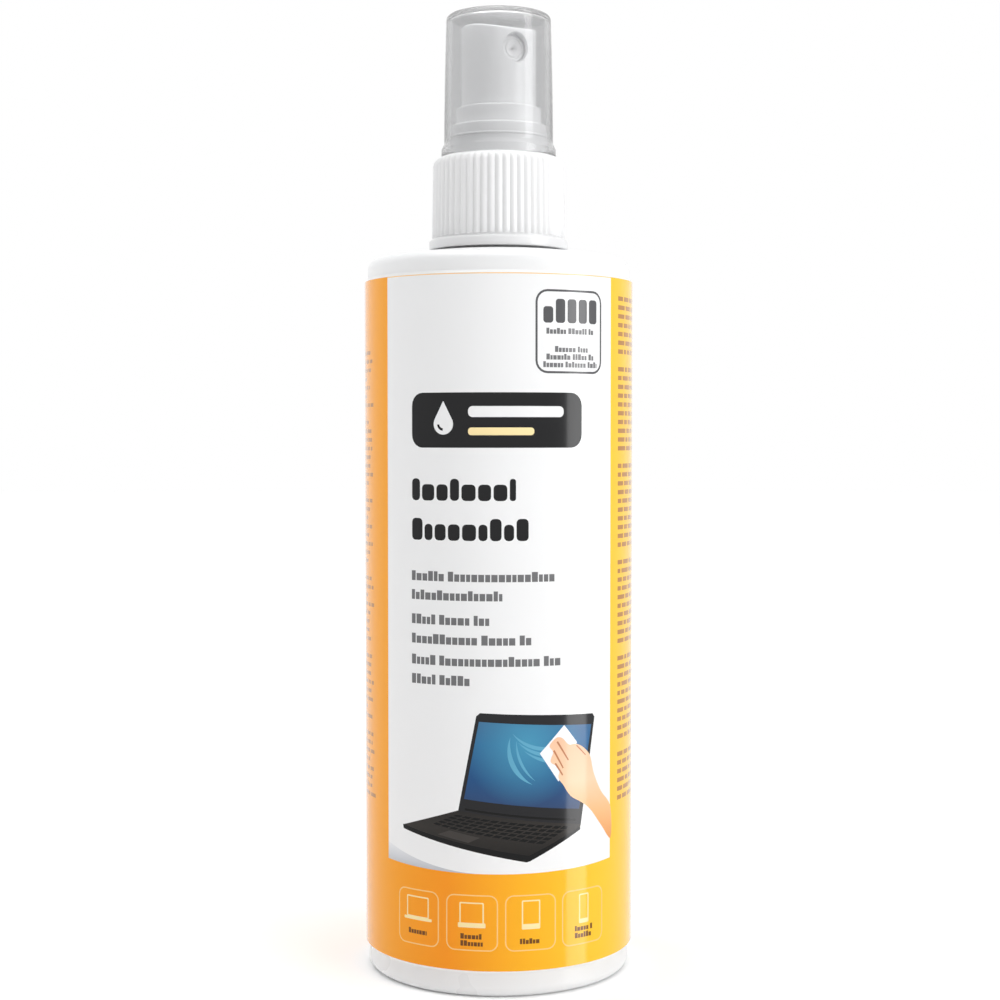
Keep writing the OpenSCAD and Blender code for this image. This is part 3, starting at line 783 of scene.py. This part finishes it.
def rib_radius(r, z, angle):
    """Sinks the grooves between the ribs; they fade out over the rounded top edge."""
    if z < RIB_FOOT_Z or r < COLLAR_RIB_R - COLLAR_TAPER - 1.5:
        return r
    fade = 1.0 - max(0.0, min(1.0, (z - (COLLAR_TOP - 1.0)) / 0.9))
    wave = 0.5 + 0.5 * math.cos(angle * RIB_COUNT)
    return r - RIB_DEPTH * fade * (1 - wave ** 0.6)


def collar_outline():
    """A closed ring: outside up, over the top edge, down the hole and the bore."""
    core = COLLAR_RIB_R - RIB_DEPTH
    flange_top = COLLAR_Z + 1.9
    out = arc(COLLAR_FLANGE_R - 0.3, COLLAR_Z + 0.3, 0.3, -90, 0, 4)
    out += arc(COLLAR_FLANGE_R - 0.35, flange_top - 0.35, 0.35, 0, 90, 5)
    out += arc(core + 0.2, flange_top + 0.2, 0.2, -90, -180, 4)
    out += [(core - 0.01, RIB_FOOT_Z - 0.06),
            (collar_side_r(RIB_FOOT_Z) - 0.06, RIB_FOOT_Z + 0.001)]
    straight = [RIB_FOOT_Z + 0.08 + (COLLAR_TOP - COLLAR_EDGE - RIB_FOOT_Z - 0.1) * i / 8
                for i in range(9)]
    out += [(collar_side_r(z), z) for z in straight]
    top_r = COLLAR_RIB_R - COLLAR_TAPER - COLLAR_EDGE
    out += arc(top_r, COLLAR_TOP - COLLAR_EDGE, COLLAR_EDGE, 4, 90, 14)
    roof = COLLAR_TOP - 1.1
    hole_r, seal_r, bore_r, bore_top = 8.35, 11.5, 12.1, 154.0
    out += [(hole_r + 0.1, COLLAR_TOP), (hole_r, COLLAR_TOP - 0.1), (hole_r, roof),
            (seal_r - 0.4, roof), (seal_r, roof - 0.4), (seal_r, bore_top + 0.6),
            (bore_r, bore_top), (bore_r, COLLAR_Z + 0.6), (bore_r + 0.3, COLLAR_Z)]
    return out


def make_collar():
    white = plastic("collar_pp", (0.79, 0.792, 0.797), rough=(0.3, 0.4), grain=1100.0,
                    grain_mm=0.008, haze=0.15)
    mesh = lathe_mesh("ribbed_collar", collar_outline(), RIB_COUNT * 12, rib_radius, closed=True)
    collar = finish_mesh("ribbed_collar", mesh, white, 40)
    add_piece(collar, "collar", "screw_collar")


# ---------------------------------------------------------------- turret, button, nozzle, overcap

def turret_outline():
    """A closed ring: skirt, bead that holds the cap, upper ring, the button's well, stem guide."""
    outer, ring, well = 9.5, 8.37, BUTTON_R + 0.2
    skirt_r, guide_r, stem_r = 8.15, 4.35, 2.12
    z0, bead, step, floor, web = COLLAR_TOP + 0.15, 161.2, 163.5, 160.3, 159.4
    out = [(skirt_r + 0.1, z0), (outer - 0.2, z0)]
    out += arc(outer - 0.15, z0 + 0.15, 0.15, -90, 0, 3)[1:]
    out += arc(outer - 0.15, bead, 0.3, -60, 60, 6)
    out += arc(outer - 0.4, step - 0.4, 0.4, 0, 90, 6)
    out += arc(ring + 0.25, step + 0.25, 0.25, -90, -180, 4)
    out += arc(ring - 0.4, TURRET_TOP - 0.4, 0.4, 0, 90, 6)
    out += arc(well + 0.15, TURRET_TOP - 0.15, 0.15, 90, 180, 3)
    out += [(well, floor), (stem_r, floor), (stem_r, PUMP_SEAT_Z), (guide_r, PUMP_SEAT_Z),
            (guide_r, web), (skirt_r, web), (skirt_r, z0 + 0.1)]
    return out


def make_turret():
    white = plastic("turret_pp", (0.84, 0.842, 0.847), rough=(0.28, 0.36), grain=1100.0,
                    grain_mm=0.008, haze=0.15)
    mesh = lathe_mesh("turret_shell", turret_outline(), 144, closed=True)
    turret = finish_mesh("turret_shell", mesh, white)
    add_piece(turret, "sprayer", "turret")


def button_outline():
    """From the top of the stem's socket out and up the side to the middle of the top."""
    web, stem_r, socket_r, foot = 173.0, 2.03, 3.3, 167.5
    wall = 0.95
    out = [(0, web), (stem_r, web), (stem_r, foot + 0.3), (stem_r + 0.3, foot),
           (socket_r - 0.2, foot), (socket_r, foot + 0.2)]
    out += [(socket_r, web - 0.4), (socket_r + 0.4, web), (5.9, web), (BUTTON_R - wall, web - 0.4)]
    out += [(BUTTON_R - wall, BUTTON_Z + 0.2), (BUTTON_R - wall + 0.2, BUTTON_Z)]
    out += arc(BUTTON_R - 0.15, BUTTON_Z + 0.15, 0.15, -90, 0, 3)
    out += [(BUTTON_R, 168 + 1.6 * i) for i in range(8)]
    out += arc(BUTTON_R - 0.55, BUTTON_TOP - 0.55, 0.55, 0, 90, 8)
    out += [(r, BUTTON_TOP) for r in (6.2, 5.4, 4.4, 3.3, 2.2, 1.1, 0)]
    return out


def finger_groove(mesh, depth=1.2, reach=6.0):
    """Sinks the button's top into a groove along the spray axis, smoothly from the rim down."""
    dish_r = (BUTTON_R ** 2 + depth ** 2) / (2 * depth)
    across = Vector((math.cos(NOZZLE_TURN), math.sin(NOZZLE_TURN)))
    for v in mesh.vertices:
        z = v.co.z / MM
        share = max(0.0, (z - (BUTTON_TOP - reach)) / reach)
        if share > 0:
            s = Vector(v.co.xy).dot(across) / MM
            sink = depth - (dish_r - math.sqrt(dish_r ** 2 - min(s * s, BUTTON_R ** 2)))
            v.co.z -= sink * share * MM


def spray_matrix():
    """Turns a solid of revolution about +Z so that its axis is the spray axis."""
    return Matrix.Translation((0, 0, NOZZLE_Z * MM)) @ Matrix.Rotation(NOZZLE_TURN, 4, "Z") \
        @ Matrix.Rotation(math.radians(90), 4, "X")


def cut(target, outline, name):
    """Cuts a turned shape along the spray axis out of a mesh, welds slivers and shades again."""
    mesh = lathe_mesh(name, outline, 96, closed=outline[0][0] > 0.01)
    mesh.transform(spray_matrix())
    tool = finish_mesh(name, mesh, target.data.materials[0])
    boolean = target.modifiers.new("cut", "BOOLEAN")
    boolean.object = tool
    boolean.solver = "EXACT"
    graph = bpy.context.evaluated_depsgraph_get()
    result = bpy.data.meshes.new_from_object(target.evaluated_get(graph))
    target.modifiers.clear()
    target.data = result
    bpy.data.objects.remove(tool)
    bm = bmesh.new()
    bm.from_mesh(result)
    bmesh.ops.remove_doubles(bm, verts=bm.verts, dist=2e-6)
    shade(bm)
    bm.to_mesh(result)
    bm.free()


def make_button():
    white = plastic("button_pp", (0.87, 0.872, 0.878), rough=(0.26, 0.34), grain=1000.0,
                    grain_mm=0.008, haze=0.15)
    mesh = lathe_mesh("button_body", button_outline(), 144)
    finger_groove(mesh)
    button = finish_mesh("button_body", mesh, white)
    post_r, post_end, recess_foot, past = 1.35, 5.0, 2.9, 9.0
    recess = [(post_r, recess_foot), (NOZZLE_R, recess_foot), (NOZZLE_R, 6.4),
              (NOZZLE_R + 0.12, 7.0), (NOZZLE_R + 0.5, 7.6), (NOZZLE_R + 0.5, past), (0, past),
              (0, post_end), (post_r - 0.15, post_end), (post_r, post_end - 0.15)]
    cut(button, recess, "recess_tool")
    add_piece(button, "button", "button")


def make_nozzle():
    """The swirl cup: a shallow conical face, a stepped rim and the orifice through it."""
    white = plastic("insert_pom", (0.83, 0.83, 0.835), rough=(0.22, 0.3), grain=1300.0,
                    grain_mm=0.006, haze=0.1)
    r, face = NOZZLE_R - 0.03, 5.8
    outline = [(0.2, face - 0.75), (0.2, face - 0.42), (0.9, face - 0.05), (1.0, face), (1.5, face)]
    outline += [(1.6, face - 0.14), (1.9, face - 0.14), (2.0, face)]
    outline += arc(r - 0.2, face - 0.2, 0.2, 90, 0, 4)
    outline += [(r, 3.3), (1.4, 3.3), (1.4, face - 0.75)]
    mesh = lathe_mesh("swirl_cup", outline, 96, closed=True)
    mesh.transform(spray_matrix())
    cup = finish_mesh("swirl_cup", mesh, white)
    add_piece(cup, "button", "nozzle_insert")


def overcap_outline():
    """A closed outline from the inside of the top, out over the rim and back up the outside."""
    wall, rim_top = 0.88, CAP_Z + 1.7
    foot_r, top_r = 10.6, 10.16
    flare_z = rim_top + 0.8
    inside = [(0, CAP_TOP - wall), (top_r - wall - 0.9, CAP_TOP - wall)]
    inside += arc(top_r - wall - 0.8, CAP_TOP - wall - 0.8, 0.8, 80, 0, 6)
    inside += [(foot_r - wall, flare_z + 0.3), (foot_r - wall + 0.08, flare_z - 0.1),
               (CAP_RIM_R - wall - 0.05, rim_top - 0.35), (CAP_RIM_R - wall, rim_top - 0.7)]
    outside = arc(CAP_RIM_R - wall + 0.15, CAP_Z + 0.15, 0.15, 180, 270, 3)
    outside += arc(CAP_RIM_R - 0.3, CAP_Z + 0.3, 0.3, -90, 0, 5)
    outside += arc(CAP_RIM_R - 0.3, rim_top - 0.3, 0.3, 0, 50, 4)
    outside += [(foot_r + 0.12, flare_z - 0.12), (foot_r + 0.02, flare_z + 0.05)]
    side = [flare_z + 0.5 + (CAP_TOP - 1.6 - flare_z) * i / 12 for i in range(13)]
    outside += [(foot_r - (foot_r - top_r) * ((z - flare_z) / (CAP_TOP - 1 - flare_z)) ** 1.6, z)
                for z in side]
    outside += arc(top_r - 1.0, CAP_TOP - 1.0, 1.0, 8, 90, 10)
    outside += [(6.0, CAP_TOP), (0, CAP_TOP)]
    return inside + outside


def clear_plastic():
    """Hazy clear polypropylene with faint ripples; it lets lamp light through to the button."""
    material, nodes, links, shader = new_material("overcap_clear")
    shader.inputs["Base Color"].default_value = (0.70, 0.702, 0.706, 1)
    shader.inputs["Transmission Weight"].default_value = 1.0
    shader.inputs["IOR"].default_value = 1.31
    links.new(spread(nodes, links, noise(nodes, links, 80.0), 0.13, 0.19),
              shader.inputs["Roughness"])
    bump(nodes, links, shader, noise(nodes, links, 220.0, detail=1.0), 0.08, 0.02)
    path = nodes.new("ShaderNodeLightPath")
    clear = nodes.new("ShaderNodeBsdfTransparent")
    clear.inputs["Color"].default_value = (0.98, 0.98, 0.98, 1)
    mix = nodes.new("ShaderNodeMixShader")
    links.new(path.outputs["Is Shadow Ray"], mix.inputs["Fac"])
    links.new(shader.outputs["BSDF"], mix.inputs[1])
    links.new(clear.outputs["BSDF"], mix.inputs[2])
    links.new(mix.outputs["Shader"], nodes["Material Output"].inputs["Surface"])
    return material


def make_overcap():
    mesh = lathe_mesh("overcap_shell", overcap_outline(), 160)
    cap = finish_mesh("overcap_shell", mesh, clear_plastic())
    add_piece(cap, "overcap", "overcap")


# ---------------------------------------------------------------- inner parts keep their CAD shape

def steel(name):
    material, nodes, links, shader = new_material(name)
    shader.inputs["Base Color"].default_value = (0.55, 0.55, 0.56, 1)
    shader.inputs["Metallic"].default_value = 1.0
    links.new(spread(nodes, links, noise(nodes, links, 900.0), 0.16, 0.34),
              shader.inputs["Roughness"])
    bump(nodes, links, shader, noise(nodes, links, 2500.0), 0.2, 0.004)
    return material


def liquid(name):
    material, nodes, links, shader = new_material(name)
    shader.inputs["Base Color"].default_value = (0.90, 0.96, 1.0, 1)
    shader.inputs["Transmission Weight"].default_value = 1.0
    shader.inputs["IOR"].default_value = 1.34
    links.new(spread(nodes, links, noise(nodes, links, 30.0), 0.0, 0.03),
              shader.inputs["Roughness"])
    return material


def dress_cad_nodes():
    """Materials and smooth shading for the nodes that stay as they are."""
    pump = plastic("pump_pp_natural", (0.72, 0.72, 0.69), rough=(0.3, 0.42), haze=0.3,
                   transmission=0.25)
    metal = steel("spring_steel")
    finishes = {
        "cleaning_fluid": liquid("cleaning_liquid"),
        "neck_gasket": plastic("gasket_foam", (0.70, 0.70, 0.68), rough=(0.7, 0.85), grain=500.0,
                               grain_mm=0.05),
        "pump_housing": pump,
        "ball_cage": pump,
        "stem_seal": plastic("seal_rubber", (0.03, 0.03, 0.032), rough=(0.5, 0.65), grain=800.0,
                             grain_mm=0.02),
        "stem": plastic("stem_pp", (0.84, 0.84, 0.84)),
        "outlet_valve": plastic("valve_pp", (0.80, 0.80, 0.79)),
        "piston": plastic("piston_pe", (0.76, 0.74, 0.66), rough=(0.35, 0.5)),
        "return_spring": metal,
        "inlet_ball": metal,
        "dip_tube": plastic("dip_tube_pe", (0.78, 0.80, 0.80), rough=(0.2, 0.3), haze=0.2,
                            transmission=0.5),
    }
    for node, material in finishes.items():
        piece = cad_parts[node]
        piece.data.materials.clear()
        piece.data.materials.append(material)
        piece.data.shade_smooth()
        piece.data.set_sharp_from_angle(angle=math.radians(30))


def squash_spring():
    """Gives the return spring a mesh of its own."""
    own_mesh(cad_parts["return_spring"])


# ---------------------------------------------------------------- studio

def area_light(name, azimuth, height, distance, size, power, aim_z=95.0):
    """A soft box that only lights and reflects. Azimuth 0 is in front, and grows towards +X."""
    light = bpy.data.lights.new(name, "AREA")
    light.shape = "RECTANGLE"
    light.size, light.size_y = size[0] * MM, size[1] * MM
    light.energy = power
    lamp = link_object(name, light)
    a = math.radians(azimuth)
    place = Vector((distance * math.sin(a), -distance * math.cos(a), height)) * MM
    lamp.location = place
    lamp.rotation_euler = (place - Vector((0, 0, aim_z * MM))).to_track_quat("Z", "Y").to_euler()
    lamp.visible_camera = False
    lamp.visible_transmission = False
    return lamp


def make_world():
    """White all round, but dim as a light, so that the lamps shape the bottle."""
    scene = bpy.context.scene
    scene.view_settings.view_transform = "Standard"
    world = bpy.data.worlds.new("studio")
    scene.world = world
    world.use_nodes = True
    nodes, links = world.node_tree.nodes, world.node_tree.links
    surround = nodes["Background"]
    surround.inputs["Color"].default_value = (1, 1, 1, 1)
    surround.inputs["Strength"].default_value = 0.27
    seen = nodes.new("ShaderNodeBackground")
    seen.inputs["Strength"].default_value = 1.0
    seen.inputs["Color"].default_value = (1, 1, 1, 1)
    path = nodes.new("ShaderNodeLightPath")
    mix = nodes.new("ShaderNodeMixShader")
    links.new(path.outputs["Is Diffuse Ray"], mix.inputs["Fac"])
    links.new(seen.outputs["Background"], mix.inputs[1])
    links.new(surround.outputs["Background"], mix.inputs[2])
    links.new(mix.outputs["Shader"], nodes["World Output"].inputs["Surface"])


def make_lamps():
    """Two soft boxes, a narrow one for the upright highlight, and a wide soft sky."""
    for soft in (area_light("key_right", 55, 330, 900, (800, 1100), 5.9),
                 area_light("rim_left", -108, 300, 800, (260, 800), 2.0)):
        soft.visible_glossy = False
    sheen = area_light("sheen_right", 66.5, 135, 256, (88, 570), 1.02, aim_z=135.0)
    sheen.visible_diffuse = False

    overhead = bpy.data.lights.new("overhead", "SUN")
    overhead.energy = 2.5
    overhead.angle = math.radians(60)
    link_object("overhead", overhead)


def make_floor():
    """A pale floor, left out of reflections so that the bottle's foot mirrors the lamps."""
    bpy.ops.mesh.primitive_circle_add(vertices=128, radius=3.0, fill_type="NGON")
    floor = bpy.context.object
    floor.name = "studio_floor"
    floor.visible_glossy = False
    pale, nodes, links, shader = new_material("floor_pale")
    shader.inputs["Base Color"].default_value = (0.95, 0.95, 0.95, 1)
    shader.inputs["Specular IOR Level"].default_value = 0.0
    links.new(spread(nodes, links, noise(nodes, links, 12.0), 0.75, 0.85),
              shader.inputs["Roughness"])
    floor.data.materials.append(pale)


def make_camera():
    """The photo's view: from the front, level with the label, tipped down a little."""
    place, tipped_down = (0.27, -361.3, 104.07), 2.077
    camera = bpy.data.cameras.new("camera")
    camera.sensor_width = 36.0
    camera.lens = 66.35
    camera.clip_start = 0.01
    view = link_object("camera", camera)
    view.location = [c * MM for c in place]
    view.rotation_euler = (math.radians(90 - tipped_down), 0, 0)
    bpy.context.scene.camera = view


make_camera()
make_world()
make_lamps()
make_floor()
make_bottle()
make_label()
make_collar()
make_turret()
make_button()
make_nozzle()
make_overcap()
dress_cad_nodes()
squash_spring()
